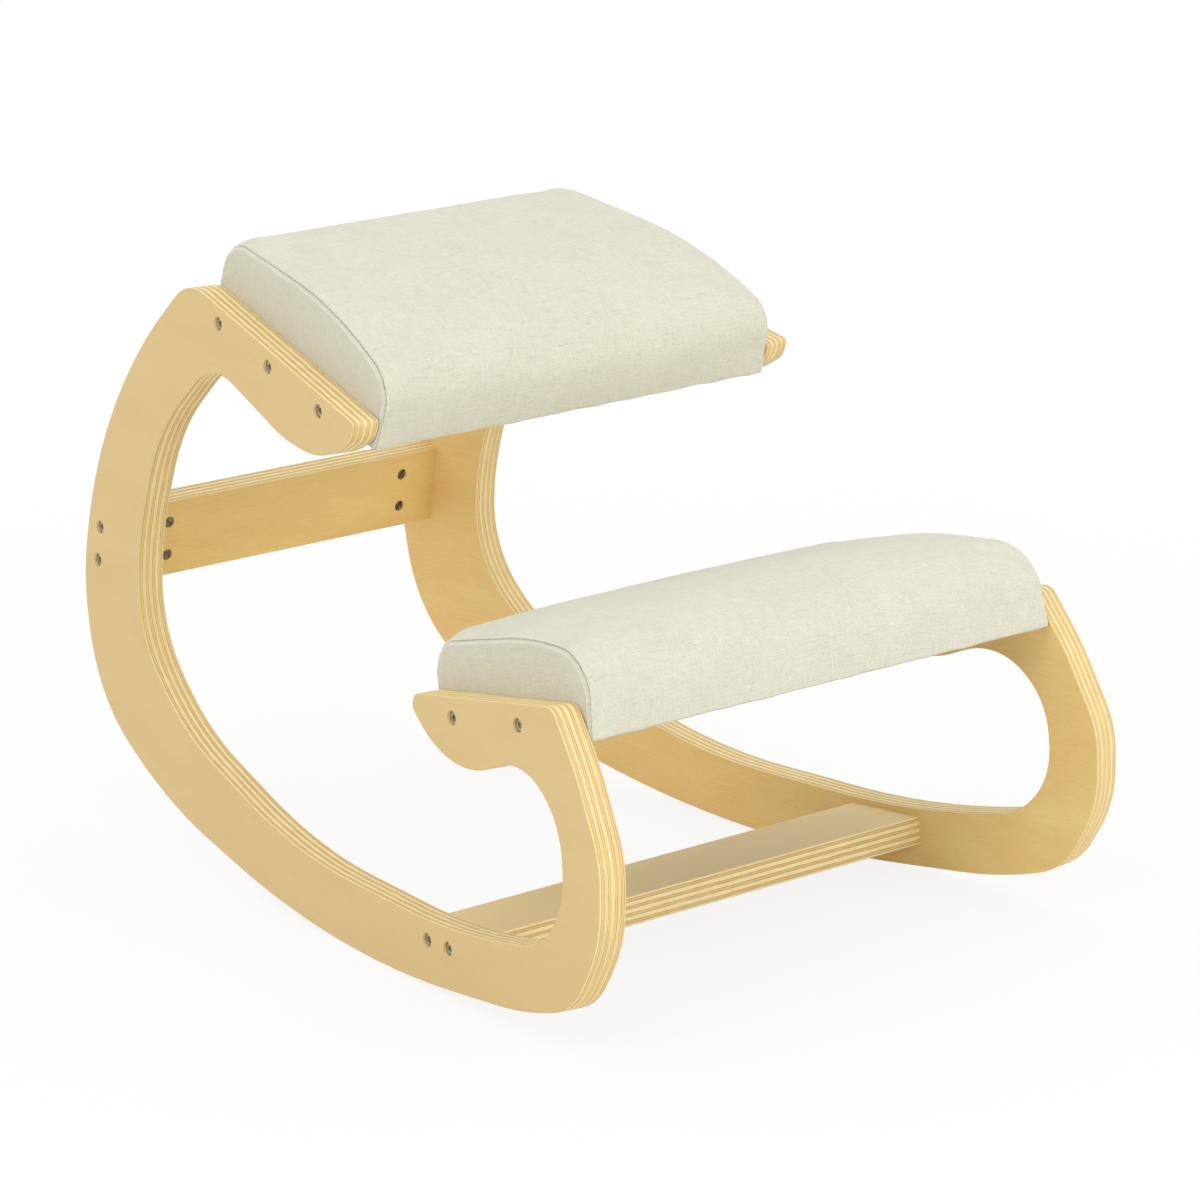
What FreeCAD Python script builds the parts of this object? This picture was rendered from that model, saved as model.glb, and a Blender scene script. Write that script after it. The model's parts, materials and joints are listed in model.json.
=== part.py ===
import FreeCAD, Part
import math
import os

from FreeCAD import Placement, Rotation, Vector

# Rocking kneeling chair. Millimetres and degrees.
# The sitter faces -Y, Z is up, and the rockers touch the floor at Z = 0.
# Lengths of the side frames are measured in their own plane: y to the back, z up.

# Plywood of the side frames, bars and cushion boards
ply = 24.0
eased_edge = 1.2           # radius on the long edges of the frames and bars

# Side frames
frame_length = 762.0
mid_width = 453.0          # over the outer faces, halfway along
splay_angle = 6.5          # each frame turns in towards the back
lean_angle = 1.0           # each frame leans in at the top
rocker_width = 51.0
back_width = 88.0
toe_width = 49.0

# Seat arm, from the upper corner of its front tip
seat_tip_from_rear = 422.5
seat_tip_height = 416.5
seat_slope = 15.0
seat_arm_length = 259.5
seat_arm_depth = 58.0
seat_tip_depth = 16.0
seat_tip_radius = 20.0

# Knee arm, from the upper corner of its rear tip
knee_tip_from_front = 265.5
knee_tip_height = 223.5
knee_slope = 10.6
knee_arm_length = 203.0
knee_arm_depth = 61.0

# Rear crossbar, upright between the frames
crossbar_from_rear = 31.5
crossbar_height = 234.5
crossbar_width = 66.0
crossbar_tilt = 8.5

# Foot stretcher, lying flat between the rockers
stretcher_from_front = 212.5
stretcher_height = 36.0
stretcher_width = 68.0
stretcher_tilt = 2.5

# Boards that carry the cushions, measured along the arms from their tips
seat_board_start = 7.0
seat_board_length = 239.0
seat_board_drop = 1.5
knee_board_start = 11.0
knee_board_length = 200.0
knee_board_drop = 4.0
board_edge_radius = 3.0
board_end_clearance = 0.1  # and the cover's thickness, to each frame

# Cushions: overhang past the board, and height over the arm at the ends and in the middle
seat_front_overhang = 8.5
seat_rear_overhang = 5.0
seat_end_height = 48.6
seat_middle_height = 55.5
seat_crest_setback = 88.0  # of the highest line, from the cushion's front
seat_front_drop = 19.0     # of the front shoulder's corner below the top
seat_rear_drop = 9.6
seat_front_radius = 32.0
seat_rear_radius = 33.0
seat_crown_radius = 360.0
seat_bulge = 2.5           # of the front in the middle
knee_front_overhang = 4.5
knee_rear_overhang = 5.1
knee_end_height = 41.2
knee_middle_height = 51.0
knee_crest_setback = 70.0
knee_front_drop = 7.6
knee_rear_drop = 5.9
knee_front_radius = 58.0
knee_rear_radius = 29.0
knee_crown_radius = 460.0
knee_bulge = 4.0
crest_lift = 3.9           # of the crown's corner over its arc
drawn_in = 2.1             # how far the end panels pull in
hem_tuck = 1.0
end_zone = 22.5            # from an end to where the cushion is nearly full
end_zone_fullness = 0.84
hem_radius = 4.2
fabric = 1.2

# Cloth and staples under the boards
hem_width = 28.0
under_cloth_thickness = 0.6
under_cloth_margin = 14.0
staple_inset = 5.0
staple_crown = 10.0
staple_wire = 1.0
staple_leg = 7.0
staple_pitch = 42.0

# Bolts and barrel nuts
bolt_diameter = 6.0
bolt_length = 60.0
bolt_tip_chamfer = 0.8
bolt_head_diameter = 10.0
bolt_head_height = 5.0
bolt_socket = 5.0          # across the flats
bolt_socket_depth = 3.0
head_recess = 2.5
bore_clearance = 0.3
counterbore_clearance = 0.8
thread_clearance = 0.1
bore_end_clearance = 4.0
nut_diameter = 9.0
nut_length = 18.0
nut_slot_width = 1.4
nut_slot_depth = 1.6
nut_slot_turn = 45.0
nut_end_clearance = 0.5
nut_setback = 36.0         # from the inner face of the frame
seat_bolt_start = 49.5
seat_bolt_pitch = 78.0
knee_bolt_start = 65.0
knee_bolt_pitch = 90.5
bar_bolt_pitch = 29.0

rear = frame_length / 2
front = -frame_length / 2
seat_tip_y = rear - seat_tip_from_rear
knee_tip_y = front + knee_tip_from_front
crossbar_y = rear - crossbar_from_rear
stretcher_y = front + stretcher_from_front
board_end_gap = fabric + board_end_clearance
counterbore_depth = head_recess + bolt_head_height
bore_depth = counterbore_depth + bolt_length + bore_end_clearance
frame_place = Placement(
    Vector(-mid_width / 2, 0, 0),
    Rotation(Vector(0, 0, 1), -splay_angle) * Rotation(Vector(0, 1, 0), lean_angle),
)


def along(tip_y, tip_z, slope, distance, rise):
    # A point in the frame's plane, at a distance to the back along a sloping line and a rise square to it
    angle = math.radians(slope)
    y = tip_y + distance * math.cos(angle) - rise * math.sin(angle)
    z = tip_z + distance * math.sin(angle) + rise * math.cos(angle)
    return y, z


def on_seat(distance, rise):
    return along(seat_tip_y, seat_tip_height, seat_slope, distance, rise)


def on_knee(distance, rise):
    return along(knee_tip_y, knee_tip_height, -knee_slope, -distance, rise)


def rounded_wire(corners, lift=lambda y, z: 0.0):
    # Closed wire through corners (y, z, radius), each rounded by a tangent arc.
    # An arc is reduced where its neighbours leave it too little straight edge.
    arc_room = 0.995
    points = [Vector(0, y, z) for y, z, radius in corners]
    count = len(points)
    reaches = []
    for i, (y, z, radius) in enumerate(corners):
        back = points[i - 1] - points[i]
        ahead = points[(i + 1) % count] - points[i]
        half = back.getAngle(ahead) / 2
        reaches.append(radius / math.tan(half))
    edges = [(points[(i + 1) % count] - points[i]).Length for i in range(count)]
    arcs = []
    for i in range(count):
        back = (points[i - 1] - points[i]).normalize()
        ahead = (points[(i + 1) % count] - points[i]).normalize()
        half = back.getAngle(ahead) / 2
        room_back = edges[i - 1] / (reaches[i - 1] + reaches[i])
        room_ahead = edges[i] / (reaches[i] + reaches[(i + 1) % count])
        reach = reaches[i] * min(1.0, arc_room * room_back, arc_room * room_ahead)
        radius = reach * math.tan(half)
        middle = points[i] + (back + ahead).normalize() * (radius / math.sin(half) - radius)
        arcs.append([points[i] + back * reach, middle, points[i] + ahead * reach])
    for arc in arcs:
        for point in arc:
            point.x = lift(point.y, point.z)
    segments = []
    for arc, following in zip(arcs, arcs[1:] + arcs[:1]):
        segments.append(Part.Arc(*arc).toShape())
        segments.append(Part.LineSegment(arc[2], following[0]).toShape())
    return Part.Wire(segments)


def side_outline():
    # Corners of a side frame: seat arm, back, rocker, toe, knee arm, then the inner edge back up
    arm_end = on_seat(seat_arm_length, 0)
    seat_top = [(*on_seat(0, 0), 4), (*arm_end, 50)]
    back = [
        (rear - 77, arm_end[1] - 82.5, 420),
        (rear - 17, arm_end[1] - 185.5, 320),
        (rear + 4.5, 201, 160),
        (rear - 20.5, 104.5, 145),
    ]
    rocker = [
        (rear - 129.5, 41.5, 500),
        (rear - 282, 10.5, 1100),
        (front + 319, -8.5, 1150),
        (front + 96, 16.5, 600),
    ]
    toe = [
        (front + 34, 37, 100),
        (front, 95.5, 100),
        (front + 0.8, 158, 82),
        (*on_knee(knee_arm_length + 23.5, -47), 200),
    ]
    knee_arm = [
        (*on_knee(knee_arm_length, 0), 12),
        (*on_knee(0, 0), 9),
        (*on_knee(23.5, -28), 78),
        (*on_knee(66, -knee_arm_depth), 94),
        (*on_knee(155.5, 19 - knee_arm_depth), 58),
        (*on_knee(200.5, -22.5 - knee_arm_depth), 64),
    ]
    toe_inside = [
        (front + toe_width - 4, 100, 64),
        (front + toe_width + 38, rocker_width + 21.5, 30),
    ]
    rocker_inside = [
        (front + 184, rocker_width - 1, 730),
        (front + 291, rocker_width + 1, 1390),
        (rear - 338, rocker_width + 1.5, 550),
    ]
    back_inside = [
        (rear - back_width - 68, 109, 219),
        (rear - back_width + 2, 180, 100),
        (rear - back_width - 2.5, arm_end[1] - 224.5, 242),
        (rear - back_width - 35, arm_end[1] - 133.5, 166),
    ]
    seat_under = [
        (*on_seat(210.5, 10 - seat_arm_depth), 63),
        (*on_seat(91.5, -seat_arm_depth), 125),
        (*on_seat(32.5, 8.5 - seat_arm_depth), 92),
        (*on_seat(1, -seat_tip_depth), seat_tip_radius),
    ]
    return seat_top + back + rocker + toe + knee_arm + toe_inside + rocker_inside + back_inside + seat_under


def mirrored(shape):
    return shape.mirror(Vector(0, 0, 0), Vector(1, 0, 0))


def placed(shape):
    moved = shape.copy()
    moved.Placement = frame_place
    return moved


def slab(x, y, z, low_x, low_y, low_z):
    return Part.makeBox(x, y, z, Vector(low_x, low_y, low_z))


def bay(inset):
    # The space between the two side frames, less an inset at each inner face
    reach = frame_length
    half = placed(slab(reach, 2 * reach, 2 * reach, ply + inset, -reach, -reach))
    return half.common(mirrored(half))


def arm_line(tip, other):
    # Where a cushion lies: on the inner top edges of both arms, with the origin at their tips
    start = frame_place.multVec(Vector(ply, *tip))
    end = frame_place.multVec(Vector(ply, *other))
    if end.y < start.y:
        angle = math.atan2(start.z - end.z, start.y - end.y)
    else:
        angle = math.atan2(end.z - start.z, end.y - start.y)
    return Placement(Vector(0, start.y, start.z), Rotation(Vector(1, 0, 0), math.degrees(angle)))


seat_place = arm_line(on_seat(0, 0), on_seat(seat_arm_length, 0))
knee_place = arm_line(on_knee(0, 0), on_knee(knee_arm_length, 0))


def bolt_points():
    # Bolt axes in the frame's plane, the way out for each barrel nut, and the board's face from the axis
    seat_axis = ply / 2 + seat_board_drop
    knee_axis = ply / 2 + knee_board_drop
    seat_out = Vector(0, math.sin(math.radians(seat_slope)), -math.cos(math.radians(seat_slope)))
    knee_out = Vector(0, -math.sin(math.radians(knee_slope)), -math.cos(math.radians(knee_slope)))
    points = {
        "seat": [(*on_seat(seat_bolt_start + i * seat_bolt_pitch, -seat_axis), seat_out) for i in range(3)],
        "knee": [(*on_knee(knee_bolt_start + i * knee_bolt_pitch, -knee_axis), knee_out) for i in range(2)],
    }
    bars = {
        "crossbar": (crossbar_y, crossbar_height, 90 + crossbar_tilt),
        "stretcher": (stretcher_y, stretcher_height, 180 - stretcher_tilt),
    }
    for name, (y, z, turn) in bars.items():
        centre = bar_axis(y, z)
        line = Vector(0, math.cos(math.radians(turn)), math.sin(math.radians(turn)))
        out = Vector(0, -line.z, line.y)
        ends = [centre + line * side * bar_bolt_pitch / 2 for side in (-1, 1)]
        points[name] = [(end.y, end.z, out) for end in ends]
    return points


def bar_axis(y, z):
    # The point of the frame's plane whose bore passes the bar's centre line halfway to its nut
    depth = ply + nut_setback / 2
    turn = frame_place.Rotation
    inward = turn.multVec(Vector(1, 0, 0))
    across = turn.multVec(Vector(0, 1, 0))
    up = turn.multVec(Vector(0, 0, 1))
    level = z - inward.z * depth
    span = (y - inward.y * depth - up.y * level) / across.y
    return Vector(0, span, level / up.z)


def inward_cylinder(diameter, length, start, y, z):
    return Part.makeCylinder(diameter / 2, length, Vector(start, y, z), Vector(1, 0, 0))


def bolt(y, z):
    head = inward_cylinder(bolt_head_diameter, bolt_head_height, head_recess, y, z)
    shank = inward_cylinder(bolt_diameter, bolt_length, counterbore_depth, y, z)
    tip = counterbore_depth + bolt_length
    tip_edge = [edge for edge in shank.Edges if abs(edge.CenterOfMass.x - tip) < 0.01]
    shank = shank.makeChamfer(bolt_tip_chamfer, tip_edge)
    corner = bolt_socket / math.sqrt(3)
    turns = [math.radians(60 * i) for i in range(7)]
    ring = [Vector(head_recess, y + corner * math.cos(turn), z + corner * math.sin(turn)) for turn in turns]
    socket = Part.Face(Part.makePolygon(ring)).extrude(Vector(bolt_socket_depth, 0, 0))
    return head.fuse(shank).cut(socket).removeSplitter()


def bore(y, z):
    width = bolt_head_diameter + 2 * counterbore_clearance
    recess = inward_cylinder(width, counterbore_depth + ply, -ply, y, z)
    hole = inward_cylinder(bolt_diameter + 2 * bore_clearance, bore_depth, 0, y, z)
    return recess.fuse(hole)


def barrel_nut(y, z, out):
    x = ply + nut_setback
    start = Vector(x, y, z) - out * (nut_length / 2)
    body = Part.makeCylinder(nut_diameter / 2, nut_length, start, out)
    thread = inward_cylinder(bolt_diameter + 2 * thread_clearance, 2 * nut_diameter, x - nut_diameter, y, z)
    slot = slab(nut_slot_width, 2 * nut_diameter, 2 * nut_slot_depth,
                -nut_slot_width / 2, -nut_diameter, -nut_slot_depth)
    turn = Rotation(Vector(0, 0, 1), out) * Rotation(Vector(0, 0, 1), nut_slot_turn)
    slot.Placement = Placement(start + out * nut_length, turn)
    return body.cut(thread).cut(slot)


def nut_bore(y, z, out):
    start = Vector(ply + nut_setback, y, z) - out * (nut_length / 2 + nut_end_clearance)
    return Part.makeCylinder(nut_diameter / 2 + bore_clearance, nut_length + ply, start, out)


def eased(body):
    # A side frame with both rims of its outline rounded over
    rims = [edge for edge in body.Edges if edge.BoundBox.XLength < ply / 2]
    return body.makeFillet(eased_edge, rims)


def bar(y, z, height, turn, space):
    body = slab(frame_length, height, ply, -frame_length / 2, -height / 2, -ply / 2)
    long_edges = [edge for edge in body.Edges if edge.BoundBox.XLength > height]
    body = body.makeFillet(eased_edge, long_edges)
    body.Placement = Placement(Vector(0, y, z), Rotation(Vector(1, 0, 0), turn))
    return body.common(space)


def board(place, start, length, drop, space):
    body = slab(frame_length, length, ply, -frame_length / 2, start, -drop - ply)
    long_edges = [edge for edge in body.Edges if edge.BoundBox.XLength > length]
    body = body.makeFillet(board_edge_radius, long_edges)
    body.Placement = place
    return body.common(space)


def inner_face_x(place, inset):
    # Distance from the middle to a plane parallel to a frame's inner face, in a cushion's own place
    point = frame_place.multVec(Vector(ply + inset, 0, 0))
    normal = frame_place.Rotation.multVec(Vector(1, 0, 0))

    def distance(y, z):
        at = place.multVec(Vector(0, y, z))
        return (normal.dot(point) - normal.y * at.y - normal.z * at.z) / normal.x

    return distance


def cushion_form(place, section, shrink):
    # Loft along the width: drawn-in ends, full shoulders and a crowned middle
    wires = []
    for inset, fullness in ((board_end_clearance + shrink, 0.0), (end_zone, end_zone_fullness)):
        wires.append(rounded_wire(section(fullness, shrink), inner_face_x(place, inset)))
    middle = rounded_wire(section(1.0, shrink))
    ordered = wires + [middle] + [mirrored(wire) for wire in reversed(wires)]
    form = Part.makeLoft(ordered, True, False)
    form.Placement = place
    return form


def seat_section(fullness, shrink):
    # Corners (along the arm, above it, radius) of a slice through the seat cushion
    height = seat_end_height + fullness * (seat_middle_height - seat_end_height) - shrink
    pull = drawn_in * (1 - fullness)
    front_edge = seat_board_start - seat_front_overhang + shrink + pull / 2
    rear_edge = seat_board_start + seat_board_length + seat_rear_overhang - shrink
    low = -seat_board_drop - ply - fabric + shrink
    bulge = seat_bulge * fullness
    return [
        (front_edge - bulge / 2, low, hem_radius - shrink),
        (front_edge - bulge, height - seat_front_drop, seat_front_radius),
        (front_edge + seat_crest_setback, height + crest_lift, seat_crown_radius),
        (rear_edge - pull / 2, height - seat_rear_drop, seat_rear_radius),
        (rear_edge - hem_tuck, low, hem_radius - shrink),
    ]


def knee_section(fullness, shrink):
    # Corners (along the arm, above it, radius) of a slice through the knee cushion
    height = knee_end_height + fullness * (knee_middle_height - knee_end_height) - shrink
    pull = drawn_in * (1 - fullness)
    rear_edge = -knee_board_start + knee_rear_overhang - shrink
    front_edge = -knee_board_start - knee_board_length - knee_front_overhang + shrink
    low = -knee_board_drop - ply - fabric + shrink
    bulge = knee_bulge * fullness
    return [
        (front_edge - hem_tuck, low, hem_radius - shrink),
        (front_edge + pull / 2 - bulge, height - knee_front_drop, knee_front_radius),
        (front_edge + knee_crest_setback, height + crest_lift, knee_crown_radius),
        (rear_edge - pull / 2, height - knee_rear_drop, knee_rear_radius),
        (rear_edge - hem_tuck, low, hem_radius - shrink),
    ]


def staple():
    outer = slab(staple_crown, staple_wire, staple_leg + staple_wire,
                 -staple_crown / 2, -staple_wire / 2, -staple_wire)
    inner_width = staple_crown - 2 * staple_wire
    inner = slab(inner_width, 2 * staple_wire, 2 * staple_leg, -inner_width / 2, -staple_wire, 0)
    return outer.cut(inner)


def staple_run(first, last):
    # Staples spread evenly between two points, each in line with the run
    span = last - first
    count = max(2, int(span.Length // staple_pitch) + 1)
    turn = math.degrees(math.atan2(span.y, span.x))
    pieces = []
    for i in range(count):
        piece = staple()
        piece.Placement = Placement(first + span * ((i + 0.5) / count), Rotation(Vector(0, 0, 1), turn))
        pieces.append(piece)
    return pieces


def underside(place, start, length, drop):
    # Cloth over the underside of a board, and the staples that hold it through the cover's hem
    low = -drop - ply - fabric
    edge = under_cloth_margin
    cloth = slab(frame_length, length - 2 * edge, under_cloth_thickness, -frame_length / 2, start + edge,
                 low - under_cloth_thickness)
    cloth.Placement = place
    cloth = cloth.common(bay(board_end_gap + edge))
    level = low - under_cloth_thickness
    inset = edge + staple_inset
    near, far = start + inset, start + length - inset
    side = inner_face_x(place, board_end_gap + inset)
    corners = [Vector(-side(near, level), near, level), Vector(side(near, level), near, level),
               Vector(side(far, level), far, level), Vector(-side(far, level), far, level)]
    pieces = []
    for first, last in zip(corners, corners[1:] + corners[:1]):
        pieces += staple_run(first, last)
    staples = Part.makeCompound(pieces)
    staples.Placement = place
    return cloth, staples


def upholstered(place, section, start, length, drop, bores, nut_bores):
    # Board, foam, cover, cloth and staples of one cushion
    body = board(place, start, length, drop, bay(board_end_gap))
    outer = cushion_form(place, section, 0.0)
    inner = cushion_form(place, section, fabric)
    hem = slab(frame_length, length - 2 * hem_width, 4 * fabric, -frame_length / 2, start + hem_width,
               -drop - ply - 3 * fabric)
    hem.Placement = place
    window = hem.common(bay(board_end_gap + hem_width))
    cloth, staples = underside(place, start, length, drop)
    foam = inner.cut(body).cut(bores)
    cover = outer.cut(inner).cut(window).cut(bores).cut(staples)
    body = body.cut(bores).cut(nut_bores).cut(staples)
    return body, foam, cover, cloth.cut(staples), staples


def build():
    points = bolt_points()
    bores = {}
    nut_bores = {}
    nodes = {}
    for name, spots in points.items():
        one_side = placed(Part.makeCompound([bore(y, z) for y, z, out in spots]))
        bores[name] = Part.makeCompound([one_side, mirrored(one_side)])
        one_side = placed(Part.makeCompound([nut_bore(*spot) for spot in spots]))
        nut_bores[name] = Part.makeCompound([one_side, mirrored(one_side)])
        bolts = placed(Part.makeCompound([bolt(y, z) for y, z, out in spots]))
        nuts = placed(Part.makeCompound([barrel_nut(*spot) for spot in spots]))
        nodes[name + "_bolts_right"] = bolts
        nodes[name + "_bolts_left"] = mirrored(bolts)
        nodes[name + "_barrel_nuts_right"] = nuts
        nodes[name + "_barrel_nuts_left"] = mirrored(nuts)

    outline = Part.Face(rounded_wire(side_outline()))
    frame = placed(eased(outline.extrude(Vector(ply, 0, 0))))
    for name in points:
        frame = frame.cut(bores[name].childShapes()[0])
    nodes["right_side_frame"] = frame
    nodes["left_side_frame"] = mirrored(frame)

    space = bay(0.0)
    crossbar = bar(crossbar_y, crossbar_height, crossbar_width, 90 + crossbar_tilt, space)
    nodes["rear_crossbar"] = crossbar.cut(bores["crossbar"]).cut(nut_bores["crossbar"])
    stretcher = bar(stretcher_y, stretcher_height, stretcher_width, -stretcher_tilt, space)
    nodes["foot_stretcher"] = stretcher.cut(bores["stretcher"]).cut(nut_bores["stretcher"])

    cushions = {
        "seat": (seat_place, seat_section, seat_board_start, seat_board_length, seat_board_drop),
        "knee": (knee_place, knee_section, -knee_board_start - knee_board_length, knee_board_length,
                 knee_board_drop),
    }
    for name, sizes in cushions.items():
        body, foam, cover, cloth, staples = upholstered(*sizes, bores[name], nut_bores[name])
        nodes[name + "_board"] = body
        nodes[name + "_foam"] = foam
        nodes[name + "_cover"] = cover
        nodes[name + "_under_cloth"] = cloth
        nodes[name + "_staples"] = staples
    return nodes


def main():
    nodes = build()
    frames = Part.makeCompound([nodes["left_side_frame"], nodes["right_side_frame"]])
    box = frames.optimalBoundingBox(False, False)
    shift = Vector(0, -(box.YMin + box.YMax) / 2, -box.ZMin)
    os.makedirs("parts", exist_ok=True)
    for name, shape in nodes.items():
        shape.translate(shift)
        shape.exportStep("parts/" + name + ".step")
    print("shift", shift, "pieces", len(nodes))


main()
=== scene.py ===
import json
import math

import bmesh
import bpy
import numpy as np
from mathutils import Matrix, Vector, noise

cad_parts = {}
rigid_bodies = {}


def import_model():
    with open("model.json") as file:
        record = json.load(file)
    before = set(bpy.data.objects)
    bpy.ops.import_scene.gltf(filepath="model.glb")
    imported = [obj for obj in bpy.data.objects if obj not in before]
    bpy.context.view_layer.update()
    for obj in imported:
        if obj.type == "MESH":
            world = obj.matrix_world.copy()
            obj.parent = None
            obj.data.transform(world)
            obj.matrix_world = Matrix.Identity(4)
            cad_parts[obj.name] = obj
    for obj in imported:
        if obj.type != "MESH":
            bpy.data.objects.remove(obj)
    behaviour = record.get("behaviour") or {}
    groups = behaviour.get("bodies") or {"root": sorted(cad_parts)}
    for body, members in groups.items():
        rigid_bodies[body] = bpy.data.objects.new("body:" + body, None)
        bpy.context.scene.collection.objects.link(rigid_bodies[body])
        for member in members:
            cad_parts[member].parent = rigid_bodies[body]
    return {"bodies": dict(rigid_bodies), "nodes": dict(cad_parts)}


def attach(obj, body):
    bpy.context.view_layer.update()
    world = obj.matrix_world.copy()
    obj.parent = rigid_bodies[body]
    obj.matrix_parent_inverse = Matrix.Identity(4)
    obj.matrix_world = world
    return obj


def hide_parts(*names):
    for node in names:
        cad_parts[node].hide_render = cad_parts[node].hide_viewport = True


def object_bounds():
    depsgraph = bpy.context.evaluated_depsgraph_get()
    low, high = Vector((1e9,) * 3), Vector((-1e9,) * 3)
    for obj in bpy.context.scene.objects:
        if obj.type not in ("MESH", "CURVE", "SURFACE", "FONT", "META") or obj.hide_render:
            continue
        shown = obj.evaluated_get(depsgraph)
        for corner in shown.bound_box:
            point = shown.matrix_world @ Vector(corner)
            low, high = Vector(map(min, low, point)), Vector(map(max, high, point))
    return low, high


# Rocking kneeling chair: plywood rockers, two upholstered cushions
# Settings are in millimetres and degrees, the scene is in metres

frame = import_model()
nodes = frame["nodes"]
cadBox = [list(corner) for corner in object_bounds()]
scene = bpy.context.scene
mm = 0.001
body = next(iter(frame["bodies"]))
print("frame loaded:", len(nodes), "nodes on", body)


# Shader maths

class Value:
    # a socket that adds Math nodes when it is used in an expression
    def __init__(self, shader, socket):
        self.shader = shader
        self.socket = socket

    def maths(self, operation, other=0.0, swap=False):
        pair = {0: other, 1: self} if swap else {0: self, 1: other}
        return self.shader.node("ShaderNodeMath", {"operation": operation}, pair)

    def __add__(self, other):
        return self.maths("ADD", other)

    def __radd__(self, other):
        return self.maths("ADD", other, True)

    def __sub__(self, other):
        return self.maths("SUBTRACT", other)

    def __rsub__(self, other):
        return self.maths("SUBTRACT", other, True)

    def __mul__(self, other):
        return self.maths("MULTIPLY", other)

    def __rmul__(self, other):
        return self.maths("MULTIPLY", other, True)

    def __truediv__(self, other):
        return self.maths("DIVIDE", other)

    def __mod__(self, other):
        return self.maths("FLOORED_MODULO", other)


class Shader:
    def __init__(self, owner, output="ShaderNodeOutputMaterial"):
        self.owner = owner
        self.output = output
        owner.use_nodes = True
        self.tree = owner.node_tree
        self.tree.nodes.clear()

    def node(self, kind, settings=None, sockets=None, out=0):
        made = self.tree.nodes.new(kind)
        for name, value in (settings or {}).items():
            setattr(made, name, value)
        for name, value in (sockets or {}).items():
            if isinstance(value, Value):
                self.tree.links.new(value.socket, made.inputs[name])
            else:
                made.inputs[name].default_value = value
        return Value(self, made.outputs[out])

    def end(self, surface):
        output = self.tree.nodes.new(self.output)
        self.tree.links.new(surface.socket, output.inputs["Surface"])
        return self.owner

    def finish(self, sockets):
        return self.end(self.node("ShaderNodeBsdfPrincipled", None, sockets))

    def seenRays(self):
        # 1 for the rays that show the background: camera, glossy and transmission
        seen = 0.0
        for ray in ("Is Camera Ray", "Is Glossy Ray", "Is Transmission Ray"):
            seen = self.node("ShaderNodeLightPath", None, None, ray).maths("MAXIMUM", seen)
        return seen

    def place(self):
        return self.node("ShaderNodeTexCoord", None, None, "Object")

    def dot(self, vector, direction):
        return self.node("ShaderNodeVectorMath", {"operation": "DOT_PRODUCT"},
                         {0: vector, 1: tuple(direction)}, "Value")

    def vector(self, x, y, z):
        return self.node("ShaderNodeCombineXYZ", None, {0: x, 1: y, 2: z})

    def noise(self, vector, scale, detail, roughness=0.5):
        return self.node("ShaderNodeTexNoise", None,
                         {"Vector": vector, "Scale": scale, "Detail": detail, "Roughness": roughness})

    def rise(self, value, low, high, start=0.0, end=1.0):
        # eased step of a value, from start at low to end at high
        return self.node("ShaderNodeMapRange", {"interpolation_type": "SMOOTHSTEP"},
                         {0: value, 1: low, 2: high, 3: start, 4: end})

    def blend(self, factor, first, second, way="MIX"):
        return self.node("ShaderNodeMix", {"data_type": "RGBA", "blend_type": way},
                         {0: factor, 6: first, 7: second}, 2)

    def bump(self, height, distance, strength):
        return self.node("ShaderNodeBump", None,
                         {"Height": height, "Distance": distance * mm, "Strength": strength})


def material(name):
    return Shader(bpy.data.materials.new(name))


def colour(red, green, blue):
    # screen values to the linear ones that a shader takes
    return tuple(((part / 255 + 0.055) / 1.055) ** 2.4 for part in (red, green, blue)) + (1.0,)


# Axes of a flat piece, read from its own faces

def plateOf(node, facing, grain):
    mesh = nodes[node].data
    facing = Vector(facing)
    near = [face for face in mesh.polygons if face.normal.dot(facing) > 0.9]
    widest = max(near, key=lambda face: face.area).normal.copy()
    normal = Vector((0, 0, 0))
    for face in near:
        if face.normal.dot(widest) > 0.99999:    # the flat itself, without its rounded rim
            normal += face.normal * face.area
    normal.normalize()
    across = normal.cross(Vector(grain)).normalized()
    grain = across.cross(normal).normalized()
    points = np.array([vertex.co for vertex in mesh.vertices]) / mm
    spans = {}
    for name, axis in (("thick", normal), ("grain", grain), ("across", across)):
        along = points @ np.array(axis)
        spans[name] = (along.min(), along.max())
    return {"normal": normal, "grain": grain, "across": across, "spans": spans}


# Birch plywood: stripes of plies on every edge, rotary veneer on the faces

plywoodLook = {
    "wide": 3.5, "narrow": 2.3, "outerPly": 2.15, "plySoftness": 0.08, "wave": 0.5,
    "faceVeneer": 0.5, "veneerSoftness": 0.06, "glueWidth": 0.22, "glueStrength": 0.85,
    "checkStrength": 0.6, "streakStrength": 0.7, "poreStrength": 0.5,
    "figure": 0.2, "fine": 0.13, "flecks": 0.07,
    "palePly": colour(248, 230, 176), "tanPly": colour(232, 200, 132), "endGrain": colour(220, 182, 112),
    "glue": colour(142, 100, 50), "pore": colour(172, 130, 76),
    "coat": 0.06, "coatRoughness": 0.3, "shine": 0.4, "roughness": 0.48, "relief": 0.14,
}
veneers = {    # outer and inner face
    # on the side frames the inner face is written lighter and more golden than the outer: painted bounce
    # light between the frames and the cushions
    "pale": (colour(216, 188, 130), colour(236, 202, 130)),
    "golden": (colour(238, 204, 128), colour(238, 204, 128)),
    "greyTan": (colour(236, 210, 152), colour(226, 196, 134)),
}


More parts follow.
